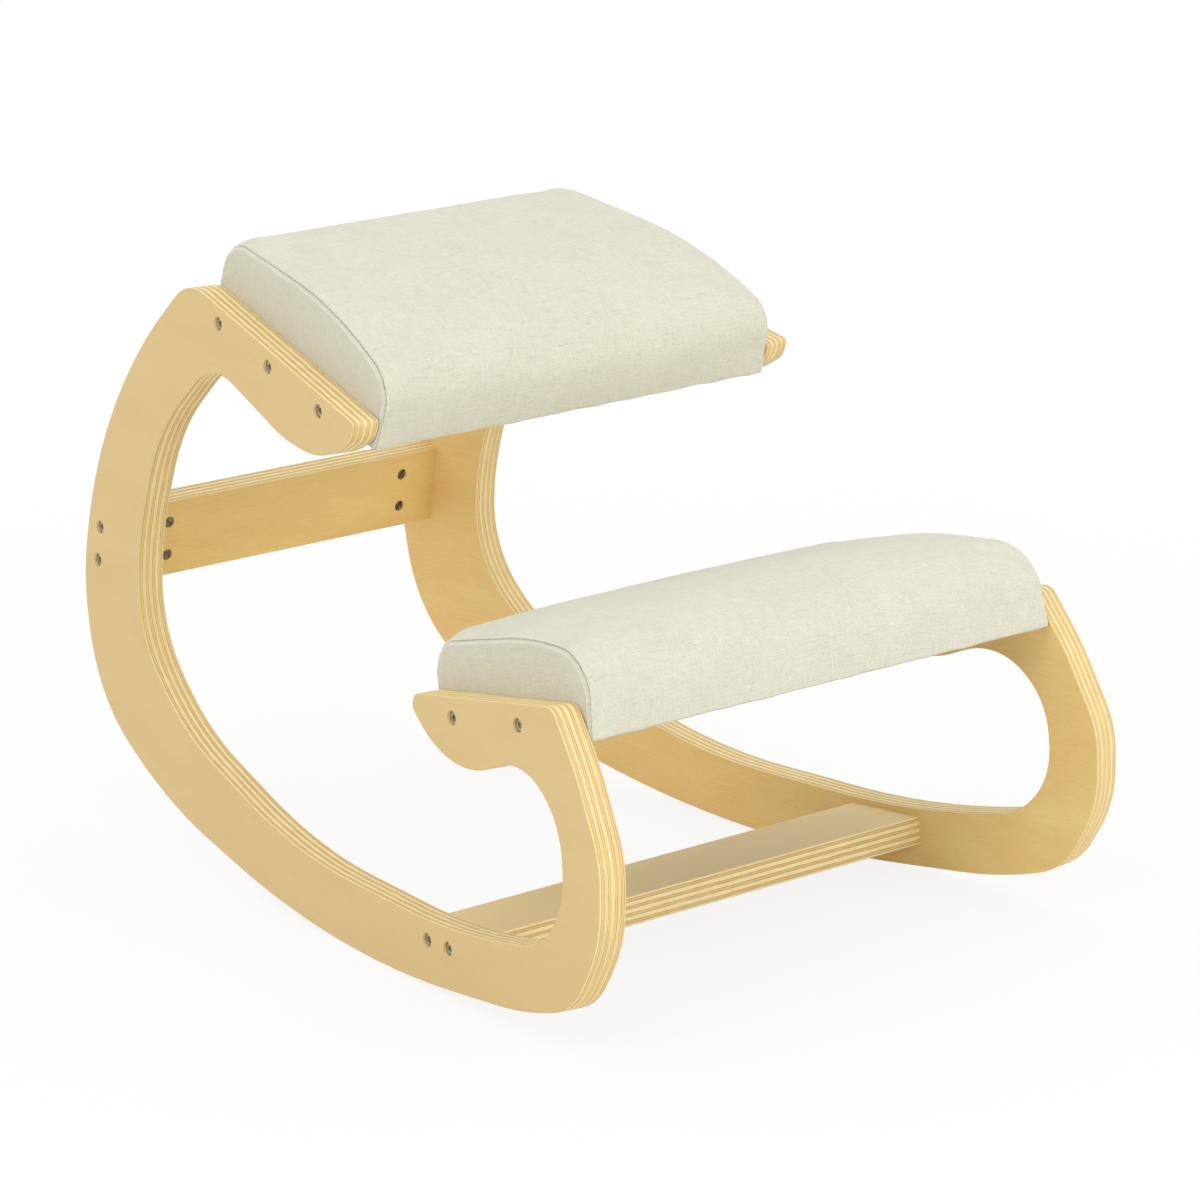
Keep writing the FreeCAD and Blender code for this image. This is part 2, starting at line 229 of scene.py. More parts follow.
def plywood(name, plate, veneer):
    look = plywoodLook
    shader = material(name)
    place = shader.place()
    normal = shader.node("ShaderNodeTexCoord", None, None, "Normal")
    lowest, highest = plate["spans"]["thick"]
    middle = (highest - lowest) / 2
    depth = shader.dot(place, plate["normal"] / mm) - float(lowest)
    along = shader.dot(place, plate["grain"] / mm)
    across = shader.dot(place, plate["across"] / mm)

    def sheetNoise(scale, third, detail, roughness):
        # noise that is the same both ways over the sheet, scale in waves per millimetre
        return shader.noise(shader.vector(along * scale, across * scale, third), 1.0, detail, roughness)

    def grainNoise(long, short, detail, roughness=0.5):
        # noise drawn out along the grain
        return shader.noise(shader.vector(along * long, across * short, 0.0), 1.0, detail, roughness)

    # plies, each a little uneven in thickness along the sheet
    wander = sheetNoise(0.016, depth * 0.09, 3.0, 0.6) - 0.5
    level = depth + wander * (2 * look["wave"]) + (look["wide"] - look["outerPly"])
    period = look["wide"] + look["narrow"]
    phase = level % period
    soft = look["plySoftness"]
    wide = shader.rise(phase, look["wide"] - soft, look["wide"] + soft, 1.0, 0.0)
    layer = (level / period).maths("FLOOR") * 7.3 + wide * 3.1    # a different number for each ply
    endWide = shader.dot(normal, plate["grain"]).maths("ABSOLUTE")
    endNarrow = shader.dot(normal, plate["across"]).maths("ABSOLUTE")
    endness = shader.rise(wide * endWide + (1 - wide) * endNarrow, 0.3, 0.95)
    tint = shader.noise(shader.vector(layer, along * 0.006, across * 0.006), 1.0, 1.0)
    broken = sheetNoise(0.045, layer, 4.0, 0.65)

    # streaks run along the sheet, pores are dots
    streaks = sheetNoise(0.07, level * 1.7, 4.0, 0.65)
    pores = shader.noise(shader.vector(along, across, depth * 1.3), 1.5, 2.0, 0.7)
    dots = shader.rise(pores, 0.56, 0.74, 0.0, look["poreStrength"])
    edge = shader.blend(wide, look["tanPly"], look["palePly"])
    edge = shader.blend(endness * shader.rise(tint, 0.3, 0.7, 0.15, 0.6), edge, look["endGrain"])
    edge = shader.blend(shader.rise(streaks, 0.46, 0.74, 0.0, look["streakStrength"]), edge, look["tanPly"])
    edge = shader.blend(dots * (0.3 + 0.7 * endness), edge, look["pore"])

    # glue lines, faint in places except beside the outer plies, and fine dark checks
    toLine = (phase - look["wide"]).maths("ABSOLUTE").maths("MINIMUM", phase)
    toLine = toLine.maths("MINIMUM", period - phase)
    skin = (depth - middle).maths("ABSOLUTE")
    outerLine = middle - look["outerPly"]
    outermost = shader.rise(skin, outerLine - 1.2, outerLine - 0.6, 0.0, 0.75)
    unbroken = shader.rise(broken, 0.36, 0.6, 0.12, 1.0).maths("MAXIMUM", outermost)
    line = shader.rise(toLine, look["glueWidth"] * 1.5, look["glueWidth"] * 0.4) * unbroken
    edge = shader.blend(line * look["glueStrength"], edge, look["glue"])
    checks = shader.rise(streaks, 0.66, 0.74) * shader.rise(broken, 0.5, 0.62)
    edge = shader.blend(checks * look["checkStrength"], edge, look["glue"])

    # rotary veneer: broad figure, fine streaks and short flecks along the grain
    figure = grainNoise(0.006, 0.022, 3.0, 0.55)
    fine = grainNoise(0.03, 0.7, 3.0, 0.6)
    flecks = shader.rise(grainNoise(0.1, 1.9, 1.0), 0.6, 0.74)
    # the side frames' lighter, more golden inner face is painted bounce light
    outerFace, innerFace = veneers[veneer]
    outside = shader.rise(depth, middle - 0.5, middle + 0.5)
    face = shader.blend(outside, innerFace, outerFace)
    mottle = (figure - 0.5) * look["figure"] + (fine - 0.5) * look["fine"] - flecks * look["flecks"]
    shade = 1 + (1 - 0.6 * outside) * mottle
    face = shader.blend(1.0, face, shader.vector(shade, shade * shade, shade * shade * shade), "MULTIPLY")
    veneerLine = middle - look["faceVeneer"]
    soft = look["veneerSoftness"]
    onFace = shader.rise(skin, veneerLine - soft, veneerLine + soft)
    base = shader.blend(onFace, edge, face)

    roughness = look["roughness"] + 0.12 * fine + (1 - onFace) * 0.12
    height = (1 - onFace) * (streaks * 0.5 + pores * 0.35 - line * 0.8) + onFace * fine * 0.25
    return shader.finish({"Base Color": base, "Roughness": roughness, "Coat Weight": look["coat"],
                          "Coat Roughness": look["coatRoughness"], "Specular IOR Level": look["shine"],
                          "Normal": shader.bump(height, look["relief"], 0.6)})


# Cream linen-look cloth: plain weave with slubs

linenLook = {
    "pitch": 1.1, "base": colour(235, 232, 213), "shadow": colour(194, 190, 166),
    "slub": colour(252, 250, 240), "slubStrength": 0.5, "cloudy": 0.08,
    # the end panels' overall darkening is painted shade, and the pale line beside their seam a painted
    # highlight
    "endPaintedShade": 0.38, "foldHighlightAt": 3.0, "foldHighlightStrength": 0.4,
    # the dark line along each seam is painted shade of its groove
    "seamPaintedShade": colour(134, 135, 114), "seamPaintedShadeStrength": 0.85,
    "roughness": 0.92, "sheen": 0.15, "shine": 0.15, "relief": 0.45,
}


def weave(shader, u, v):
    # thread heights of a plain weave, u and v in millimetres
    pitch = linenLook["pitch"]
    drift = shader.noise(shader.vector(u * 0.05, v * 0.05, 0.0), 1.0, 2.0)
    across = (u + drift * 1.8) / pitch
    along = (v + drift * 1.4) / pitch
    cell = (across.maths("FLOOR") + along.maths("FLOOR")) % 2.0
    warp = (across % 1.0 * math.pi).maths("SINE")
    weft = (along % 1.0 * math.pi).maths("SINE")
    over = warp * (0.55 + 0.45 * weft)
    under = weft * (0.55 + 0.45 * warp)
    return over * cell + under * (1 - cell)


def uneven(shader, long, short, layer):
    # thick and thin lengths of thread: tone of the common ones, and the rare slubs
    tone = shader.noise(shader.vector(long * 0.08, short * 0.95, layer), 1.0, 2.0, 0.6) - 0.5
    slub = shader.noise(shader.vector(long * 0.03, short * 0.6, layer + 5.0), 1.0, 1.0)
    return tone, shader.rise(slub, 0.65, 0.73)


def linen(name, wrapped, plate):
    # the wrapped cloth has flat coordinates of its own, an end panel takes them from the board's axes
    look = linenLook
    shader = material(name)
    wrap = shader.node("ShaderNodeAttribute", {"attribute_name": "wrap"}, None, "Vector")
    u, v, apart = [shader.node("ShaderNodeSeparateXYZ", None, {0: wrap}, k) for k in range(3)]
    if not wrapped:
        place = shader.place()
        u = shader.dot(place, plate["across"] / mm)
        v = shader.dot(place, plate["normal"] / mm)
    threads = weave(shader, u, v)
    weftTone, weftSlub = uneven(shader, u, v, 3.0)
    warpTone, warpSlub = uneven(shader, v, u, 9.0)
    slubs = weftSlub.maths("MAXIMUM", warpSlub * 0.8)
    tone = weftTone + warpTone
    clouds = shader.noise(shader.vector(u * 0.02, v * 0.02, 1.0), 1.0, 2.0)
    base = shader.blend(shader.rise(threads, 0.15, 0.75, 0.36, 0.0), look["base"], look["shadow"])
    base = shader.blend(shader.rise(tone, 0.02, -0.3, 0.0, 0.3), base, look["shadow"])
    base = shader.blend(shader.rise(tone, 0.02, 0.3, 0.0, 0.25), base, look["slub"])
    base = shader.blend(slubs * look["slubStrength"], base, look["slub"])
    if not wrapped:
        # painted shade: the whole end panel darkened toward the shadow colour
        base = shader.blend(look["endPaintedShade"], base, look["shadow"])
        # painted highlight: a pale line in the slub colour along the fold a few millimetres inside the seam
        foldHighlight = shader.rise((apart - look["foldHighlightAt"]).maths("ABSOLUTE"), 1.4, 0.2)
        base = shader.blend(foldHighlight * look["foldHighlightStrength"], base, look["slub"])
    base = shader.blend(shader.rise(clouds, 0.3, 0.7, 0.0, look["cloudy"]), base, look["shadow"])
    # painted shade: a dark line within a millimetre of the seam, where the groove is
    base = shader.blend(shader.rise(apart, 0.9, 0.3, 0.0, look["seamPaintedShadeStrength"]), base, look["seamPaintedShade"])
    height = threads * 0.6 + tone * 0.9 + slubs * 0.7
    return shader.finish({"Base Color": base, "Roughness": look["roughness"], "Sheen Weight": look["sheen"],
                          "Sheen Roughness": 0.5, "Specular IOR Level": look["shine"],
                          "Normal": shader.bump(height, look["relief"], 0.9)})


# Small metal parts, thread and under cloth

metals = {
    "_bolts_": ("zincBolts", colour(228, 230, 224), 0.24),
    # the barrel nuts are zinc, written dark brown as painted shade of the bores they sit in
    "_barrel_nuts_": ("zincNutsWithPaintedShade", colour(124, 104, 78), 0.5),
    "_staples": ("stapleWire", colour(190, 190, 186), 0.3),
}
zincBloom = colour(150, 152, 146)
threadLook = {"tone": colour(176, 174, 152), "light": colour(236, 233, 216), "roughness": 0.7}
blackLook = {"dark": colour(26, 26, 27), "worn": colour(62, 62, 62), "roughness": 0.85, "shine": 0.3}


def zinc(name, tone, roughness):
    shader = material(name)
    place = shader.place()
    bloom = shader.noise(place, 420.0, 3.0)
    scratches = shader.noise(place, 2600.0, 2.0)
    base = shader.blend(shader.rise(bloom, 0.35, 0.7), tone, zincBloom)
    rough = roughness + 0.18 * bloom
    return shader.finish({"Base Color": base, "Roughness": rough, "Metallic": 1.0,
                          "Normal": shader.bump(scratches, 0.03, 0.5)})


def plainThread(name):
    look = threadLook
    shader = material(name)
    twist = shader.noise(shader.place(), 3800.0, 1.0)
    base = shader.blend(shader.rise(twist, 0.35, 0.65), look["tone"], look["light"])
    return shader.finish({"Base Color": base, "Roughness": look["roughness"],
                          "Normal": shader.bump(twist, 0.05, 0.6)})


def blackCloth(name):
    look = blackLook
    shader = material(name)
    place = shader.place()
    fibres = shader.noise(place, 1900.0, 3.0, 0.7)
    dimples = shader.noise(place, 420.0, 1.0)
    base = shader.blend(shader.rise(fibres, 0.35, 0.75), look["dark"], look["worn"])
    height = fibres * 0.6 + dimples * 0.6
    return shader.finish({"Base Color": base, "Roughness": look["roughness"],
                          "Specular IOR Level": look["shine"], "Normal": shader.bump(height, 0.2, 0.7)})


# Cushion shapes, in the board's own axes: s to the back from its front edge, h up from its top

cushions = {
    "seat": {
        "board": "seat_board", "replaced": ("seat_cover", "seat_foam"),
        "frontOver": 8.5, "rearOver": 5.0, "endHeight": 50.6, "middleHeight": 58.4, "crest": 88.0,
        "frontDrop": 19.0, "rearDrop": 9.6, "frontRadius": 32.0, "rearRadius": 33.0, "crownRadius": 360.0,
        "bulge": 2.5, "drawnIn": 2.1, "seamInset": 3.4, "acrossCount": 88, "alongCount": 54, "sideCount": 14,
    },
    "knee": {
        "board": "knee_board", "replaced": ("knee_cover", "knee_foam"),
        "frontOver": 3.8, "rearOver": 5.1, "endHeight": 45.2, "middleHeight": 55.0, "crest": 70.0,
        "frontDrop": 7.6, "rearDrop": 5.9, "frontRadius": 58.0, "rearRadius": 29.0, "crownRadius": 460.0,
        "bulge": 3.4, "drawnIn": 2.1, "seamInset": 2.6, "acrossCount": 102, "alongCount": 46, "sideCount": 14,
    },
}
stuffing = {
    "cloth": 1.2, "hemRadius": 4.2, "hemTuck": 1.0, "crestLift": 3.9, "endZone": 22.5, "endFullness": 0.84,
    "slim": 1.0, "slimBelow": 0.4, "clearance": 0.5, "insetFade": 4.0, "insetRise": 36.0,
    "pressure": 4.0, "stiffness": 25.0, "bending": 2.0, "mass": 0.3, "quality": 5, "frames": 20,
    "cap": 4.0, "easing": 3,
}


def innerFaces():
    # the plane of each side frame's inner face, as x from the middle at a given y and z
    plate = plateOf("left_side_frame", (1, 0, 0), (0, 1, 0))
    normal = plate["normal"]
    reach = plate["spans"]["thick"][0]

    def distance(y, z):
        return (reach - normal.y * y - normal.z * z) / normal.x

    return distance


frameGap = innerFaces()


def roundedArcs(corners, steps=24):
    # tangent arcs at the corners (s, h, radius) of a closed outline, as lists of points
    points = [np.array(corner[:2]) for corner in corners]
    count = len(points)
    edges = [points[(i + 1) % count] - points[i] for i in range(count)]
    length = [np.hypot(*edge) for edge in edges]
    unit = [edge / size for edge, size in zip(edges, length)]
    half, reach = [], []
    for i in range(count):
        cosine = float(np.clip(np.dot(-unit[i - 1], unit[i]), -1, 1))
        half.append(math.acos(cosine) / 2)
        reach.append(corners[i][2] / math.tan(half[i]))
    arcs = []
    for i in range(count):
        roomBefore = length[i - 1] / (reach[i - 1] + reach[i])
        roomAfter = length[i] / (reach[i] + reach[(i + 1) % count])
        run = reach[i] * min(1.0, roomBefore, roomAfter)
        radius = run * math.tan(half[i])
        inward = unit[i] - unit[i - 1]
        inward = inward / np.hypot(*inward)
        centre = points[i] + inward * (radius / math.sin(half[i]))
        start = points[i] - unit[i - 1] * run - centre
        end = points[i] + unit[i] * run - centre
        turn = math.atan2(start[0] * end[1] - start[1] * end[0], float(np.dot(start, end)))
        arc = []
        for k in range(steps + 1):
            angle = turn * k / steps
            cosine, sine = math.cos(angle), math.sin(angle)
            turned = (start[0] * cosine - start[1] * sine, start[0] * sine + start[1] * cosine)
            arc.append(centre + np.array(turned))
        arcs.append(arc)
    return arcs


def evenly(points, count):
    # a polyline as count equal steps
    points = np.array(points)
    steps = np.hypot(*(np.diff(points, axis=0).T))
    far = np.concatenate(([0.0], np.cumsum(steps)))
    at = np.linspace(0.0, far[-1], count + 1)
    return np.stack([np.interp(at, far, points[:, k]) for k in range(2)], 1)


def crossSection(look, length, thick, fullness, slim):
    # front, top, rear and bottom of a slice, each as evenly spaced points
    height = look["endHeight"] + fullness * (look["middleHeight"] - look["endHeight"]) - slim
    pull = look["drawnIn"] * (1 - fullness)
    bulge = look["bulge"] * fullness
    front = -look["frontOver"] + slim + pull / 2
    rear = length + look["rearOver"] - slim
    low = -thick - stuffing["cloth"] + min(slim, stuffing["slimBelow"])
    tuck = stuffing["hemTuck"]
    corners = [
        (front - bulge / 2, low, stuffing["hemRadius"]),
        (front - bulge, height - look["frontDrop"], look["frontRadius"]),
        (front + look["crest"], height + stuffing["crestLift"], look["crownRadius"]),
        (rear - pull / 2, height - look["rearDrop"], look["rearRadius"]),
        (rear - tuck, low, stuffing["hemRadius"]),
    ]
    arcs = roundedArcs(corners)
    cut = len(arcs[0]) // 2
    frontSide = arcs[0][cut:] + arcs[1][:cut + 1]
    topSide = arcs[1][cut:] + arcs[2] + arcs[3][:cut + 1]
    rearSide = arcs[3][cut:] + arcs[4][:cut + 1]
    lowSide = arcs[4][cut:] + arcs[0][:cut + 1]
    side, along = look["sideCount"], look["alongCount"]
    loops = [evenly(frontSide, side), evenly(topSide, along), evenly(rearSide, side), evenly(lowSide, along)]
    return np.concatenate([loop[:-1] for loop in loops])


def fullnessAt(inset, halfWidth):
    zone = stuffing["endZone"]
    edge = stuffing["endFullness"]
    if inset < zone:
        return edge * (1 - (1 - inset / zone) ** 2)
    return edge + (1 - edge) * (1 - (1 - (inset - zone) / (halfWidth - zone)) ** 2)


class Cushion:
    # a closed quad form: a strip wrapped round the width and a panel at each end
    def __init__(self, name, look):
        self.name = name
        self.look = look
        self.plate = plateOf(look["board"], (0, 0, 1), (1, 0, 0))
        spans = self.plate["spans"]
        self.front = spans["across"][0]
        self.top = spans["thick"][1]
        self.length = spans["across"][1] - spans["across"][0]
        self.thick = spans["thick"][1] - spans["thick"][0]
        self.side = look["sideCount"]
        self.along = look["alongCount"]
        self.loop = 2 * (self.side + self.along)

    def world(self, x, s, h):
        across = np.array(self.plate["across"])
        up = np.array(self.plate["normal"])
        s = np.asarray(s)[..., None]
        h = np.asarray(h)[..., None]
        out = across * (self.front + s) + up * (self.top + h)
        out[..., 0] = x
        return out

    def endX(self, s, h):
        at = self.world(0.0, s, h)
        return frameGap(at[..., 1], at[..., 2]) - stuffing["clearance"]

    def inset(self, h):
        # how far the seam stays from the side frame at a height: nothing at the board's underside
        rise = np.clip((h + self.thick + stuffing["cloth"]) / stuffing["insetRise"], 0.0, 1.0)
        return self.look["seamInset"] * rise

    def startGrid(self):
        count = self.look["acrossCount"]
        halfWidth = float(self.endX(self.length / 2, 0.0))
        rows = []
        for i in range(count + 1):
            share = 2 * i / count - 1
            inset = halfWidth * (1 - abs(share))
            fullness = fullnessAt(inset, halfWidth)
            slim = stuffing["slim"] * min(1.0, inset / stuffing["endZone"])
            loop = crossSection(self.look, self.length, self.thick, fullness, slim)
            x = share * (self.endX(loop[:, 0], loop[:, 1]) - self.inset(loop[:, 1]))
            rows.append(self.world(x, loop[:, 0], loop[:, 1]))
        return np.array(rows)

    def endGrid(self, edge):
        # a panel's points between its four edges, rows from the bottom up, columns from front to back
        side, along = self.side, self.along
        front = edge[:side + 1]
        top = edge[side:side + along + 1]
        rear = edge[side + along:2 * side + along + 1][::-1]
        low = np.concatenate((edge[2 * side + along:], edge[:1]))[::-1]
        v = np.linspace(0, 1, side + 1)[:, None, None]
        u = np.linspace(0, 1, along + 1)[None, :, None]
        grid = (1 - v) * low[None] + v * top[None] + (1 - u) * front[:, None] + u * rear[:, None]
        corners = (1 - u) * (1 - v) * low[0] + u * (1 - v) * low[-1] + (1 - u) * v * top[0] + u * v * top[-1]
        grid = grid - corners

        # the panel swells out to the side frame within a few millimetres of its seam
        seam = edge[:2 * side + along + 1]
        apart = np.linalg.norm(grid[:, :, None, 1:] - seam[None, None, :, 1:], axis=3).min(2)
        reach = frameGap(grid[..., 1], grid[..., 2]) - stuffing["clearance"]
        level = grid @ np.array(self.plate["normal"]) - self.top
        inset = self.inset(level) * np.exp(-apart / stuffing["insetFade"])
        grid[1:-1, 1:-1, 0] = (np.sign(edge[0, 0]) * (reach - inset))[1:-1, 1:-1]
        return grid


def gridFaces(ids):
    quads = np.stack([ids[:-1, :-1], ids[1:, :-1], ids[1:, 1:], ids[:-1, 1:]], -1)
    return quads.reshape(-1, 4)


def endIds(strip, inner, sideN, alongN):
    # vertex numbers of an end panel, whose rim is the strip's own last loop
    ids = np.zeros((sideN + 1, alongN + 1), int)
    ids[1:-1, 1:-1] = inner
    ids[:, 0] = strip[:sideN + 1]
    ids[-1, :] = strip[sideN:sideN + alongN + 1]
    ids[:, -1] = strip[sideN + alongN:2 * sideN + alongN + 1][::-1]
    ids[0, :] = np.concatenate((strip[2 * sideN + alongN:], strip[:1]))[::-1]
    return ids


def closedForm(strip, ends, sideN, alongN):
    # points and quads of a strip and its two end panels, and how many of the quads are the strip's
    rows, loop = strip.shape[:2]
    stripIds = np.arange(rows * loop).reshape(rows, loop)
    points = [strip.reshape(-1, 3)]
    faces = [gridFaces(np.concatenate((stripIds, stripIds[:, :1]), 1))]
    at = rows * loop
    endFaces = []
    for row, end in ((0, ends[0]), (rows - 1, ends[1])):
        inner = end[1:-1, 1:-1]
        ids = np.arange(at, at + inner.shape[0] * inner.shape[1]).reshape(inner.shape[:2])
        at += ids.size
        points.append(inner.reshape(-1, 3))
        endFaces.append(gridFaces(endIds(stripIds[row], ids, sideN, alongN)))
    stripCount = len(faces[0])
    return np.concatenate(points), np.concatenate(faces + endFaces), stripCount


def meshObject(name, points, faces):
    mesh = bpy.data.meshes.new(name)
    mesh.from_pydata((points * mm).tolist(), [], faces.tolist())
    shape = bmesh.new()
    shape.from_mesh(mesh)
    bmesh.ops.recalc_face_normals(shape, faces=shape.faces[:])
    shape.to_mesh(mesh)
    shape.free()
    made = bpy.data.objects.new(name, mesh)
    scene.collection.objects.link(made)
    return made


def coordinates(mesh):
    flat = np.empty(len(mesh.vertices) * 3)
    mesh.vertices.foreach_get("co", flat)
    return flat.reshape(-1, 3) / mm


def inflate(points, faces, held):
    # the form as cloth under gentle pressure, with the held points kept where they are
    swollen = meshObject("swelling", points, faces)
    group = swollen.vertex_groups.new(name="held")
    for index in np.nonzero(held)[0]:
        group.add([int(index)], 1.0, "REPLACE")
    modifier = swollen.modifiers.new("Cloth", "CLOTH")
    cloth = modifier.settings
    cloth.quality = stuffing["quality"]
    cloth.mass = stuffing["mass"]
    cloth.tension_stiffness = stuffing["stiffness"]
    cloth.compression_stiffness = stuffing["stiffness"]
    cloth.shear_stiffness = stuffing["stiffness"] / 2
    cloth.bending_stiffness = stuffing["bending"]
    cloth.use_pressure = True
    cloth.uniform_pressure_force = stuffing["pressure"]
    cloth.vertex_group_mass = "held"
    cloth.effector_weights.gravity = 0.0
    modifier.point_cache.frame_start = 1
    modifier.point_cache.frame_end = stuffing["frames"]
    for step in range(1, stuffing["frames"] + 1):
        scene.frame_set(step)
    depsgraph = bpy.context.evaluated_depsgraph_get()
    result = coordinates(swollen.evaluated_get(depsgraph).data)
    scene.frame_set(1)
    bpy.data.objects.remove(swollen)
    return result


def eased(points, faces, move, rounds):
    # the move of each point averaged with its neighbours
    links = np.concatenate([faces[:, [k, (k + 1) % 4]] for k in range(4)])
    links = np.concatenate((links, links[:, ::-1]))
    number = np.bincount(links[:, 0], minlength=len(points))[:, None]
    for _ in range(rounds):
        total = np.stack([np.bincount(links[:, 0], move[links[:, 1], k], len(points)) for k in range(3)], 1)
        move = 0.5 * move + 0.5 * total / number
    return move


def stuffed(cushion):
    strip = cushion.startGrid()
    ends = [cushion.endGrid(strip[0]), cushion.endGrid(strip[-1])]
    points, faces, _ = closedForm(strip, ends, cushion.side, cushion.along)
    rows, loop = strip.shape[:2]

    # both seams, the underside and the rows next to it are held
    heldGrid = np.zeros((rows, loop), bool)
    heldGrid[:, 2 * cushion.side + cushion.along - 1:] = True
    heldGrid[:, :2] = True
    heldGrid[[0, -1], :] = True
    held = np.concatenate((heldGrid.ravel(), np.zeros(len(points) - rows * loop, bool)))
    move = inflate(points, faces, held) - points
    size = np.linalg.norm(move, axis=1, keepdims=True)
    cap = stuffing["cap"]
    move = move * (cap * np.tanh(size / cap) / np.maximum(size, 1e-9))
    move[held] = 0.0
    move = eased(points, faces, move, stuffing["easing"])
    move[held] = 0.0
    points = points + move
    print(cushion.name, "cushion swelled by up to", round(float(size.max()), 1), "mm, capped at", cap)
    strip = points[:rows * loop].reshape(rows, loop, 3)
    inner = points[rows * loop:].reshape(2, cushion.side - 1, cushion.along - 1, 3)
    for end, part in zip(ends, inner):
        end[1:-1, 1:-1] = part
    return strip, ends


# The swollen form again on a finer grid, with close rows beside the seams

def spline(grid, at, closed):
    # smooth values between the rows of a grid, at fractional row numbers
    count = len(grid)
    at = np.asarray(at, float)
    row = np.floor(at).astype(int)
    if not closed:
        row = np.clip(row, 0, count - 2)
        first = 2 * grid[:1] - grid[1:2]
        last = 2 * grid[-1:] - grid[-2:-1]
        grid = np.concatenate((first, grid, last))
        index = [row + k for k in range(4)]
    else:
        index = [(row + k) % count for k in (-1, 0, 1, 2)]
    t = (at - row).reshape((-1,) + (1,) * (grid.ndim - 1))
    weights = (
        -0.5 * t + t ** 2 - 0.5 * t ** 3,
        1 - 2.5 * t ** 2 + 1.5 * t ** 3,
        0.5 * t + 2 * t ** 2 - 1.5 * t ** 3,
        -0.5 * t ** 2 + 0.5 * t ** 3,
    )
    return sum(weight * grid[i] for weight, i in zip(weights, index))


seamRows = (0.0, 0.14, 0.3, 0.5, 0.75, 1.0)


def fineRows(count):
    start = list(seamRows)
    end = [count - row for row in reversed(seamRows)]
    middle = list(np.arange(1.5, count - 1.0, 0.5))
    return np.array(start + middle + end)


seamLook = {
    "groove": 1.3, "grooveWidth": 0.8, "lip": 0.5, "lipAt": 2.6, "lipWidth": 1.3,
    "pucker": 9.0, "puckerDepth": 0.3,
    "stitch": 3.4, "gap": 1.1, "thread": 0.3, "tip": 0.55, "sunk": 0.25, "dip": 0.5, "rings": 5, "around": 6,
}
hemLook = {
    "scallop": 0.55, "pitch": 42.0, "reach": 14.0, "cornerBulk": 0.5, "cornerAt": 14.0, "cornerWidth": 7.0,
    "wander": 0.4, "broad": 46.0, "small": 15.0, "smallShare": 0.35, "fromFrame": 0.15,
}


def refined(cushion):
    # the wrapped strip and the end panels on the finer grid, and the steps up and along a panel
    strip, ends = stuffed(cushion)
    side, along = cushion.side, cushion.along
    sideRows, alongRows = fineRows(side), fineRows(along)
    loopRows = np.concatenate((sideRows[:-1], side + alongRows[:-1], 2 * side + along - sideRows[:0:-1],
                               2 * (side + along) - alongRows[:0:-1]))
    strip = spline(strip, fineRows(len(strip) - 1), False)
    strip = spline(strip.swapaxes(0, 1), loopRows, True).swapaxes(0, 1)
    panels = []
    for end in ends:
        end = spline(end, sideRows, False)
        panels.append(spline(end.swapaxes(0, 1), alongRows, False).swapaxes(0, 1))
    return strip, panels, len(sideRows) - 1, len(alongRows) - 1


def wrapOf(strip, points, seams):
    # flat coordinates of the wrapped cloth, and each point's distance from a seam
    rows, loop = strip.shape[:2]
    middle = strip[rows // 2]
    steps = np.linalg.norm(np.roll(middle, -1, 0) - middle, axis=1)
    aroundCloth = np.concatenate(([0.0], np.cumsum(steps[:-1])))
    seamCount = len(seams[0])
    toSeam = np.full((rows, loop), 99.0)
    for seam in seams:
        gaps = np.linalg.norm(strip[:, :seamCount] - seam, axis=2)
        toSeam[:, :seamCount] = np.minimum(toSeam[:, :seamCount], gaps)
    wrap = np.zeros((len(points), 3))
    wrap[:, 0] = points[:, 0]
    wrap[:rows * loop, 1] = np.tile(aroundCloth, rows)
    wrap[:rows * loop, 2] = toSeam.ravel()
    half = (len(points) - rows * loop) // 2
    for k, seam in enumerate(seams):
        part = slice(rows * loop + k * half, rows * loop + (k + 1) * half)
        wrap[part, 2] = np.linalg.norm(points[part][:, None] - seam[None], axis=2).min(1)
    return wrap


def upholster(name):
    cushion = Cushion(name, cushions[name])
    strip, panels, sideN, alongN = refined(cushion)
    points, faces, stripCount = closedForm(strip, panels, sideN, alongN)
    rows, loop = strip.shape[:2]
    seam = np.arange(2 * sideN + alongN + 1)
    seamIds = {"Right": seam, "Left": (rows - 1) * loop + seam}
    wrap = wrapOf(strip, points, [points[ids] for ids in seamIds.values()])

    piece = meshObject(name + "Cushion", points, faces)
    mesh = piece.data
    shapeCloth(cushion, mesh, points, wrap)
    made = mesh.attributes.new("wrap", "FLOAT_VECTOR", "POINT")
    made.data.foreach_set("vector", wrap.astype(np.float32).ravel())
    mesh.materials.append(linen(name + "WrappedLinen", True, cushion.plate))
    mesh.materials.append(linen(name + "EndLinenPaintedShadeAndHighlight", False, cushion.plate))
    slots = np.zeros(len(faces), np.int32)
    slots[stripCount:] = 1
    mesh.polygons.foreach_set("material_index", slots)
    mesh.polygons.foreach_set("use_smooth", np.ones(len(faces), bool))
    mesh.update()
    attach(piece, body)
    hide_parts(*cushion.look["replaced"])
    shaped = coordinates(mesh)
    for side, ids in seamIds.items():
        stitchRow(name + "Seam" + side, shaped[ids])
    print(name, "cushion:", len(faces), "faces")
    return cushion


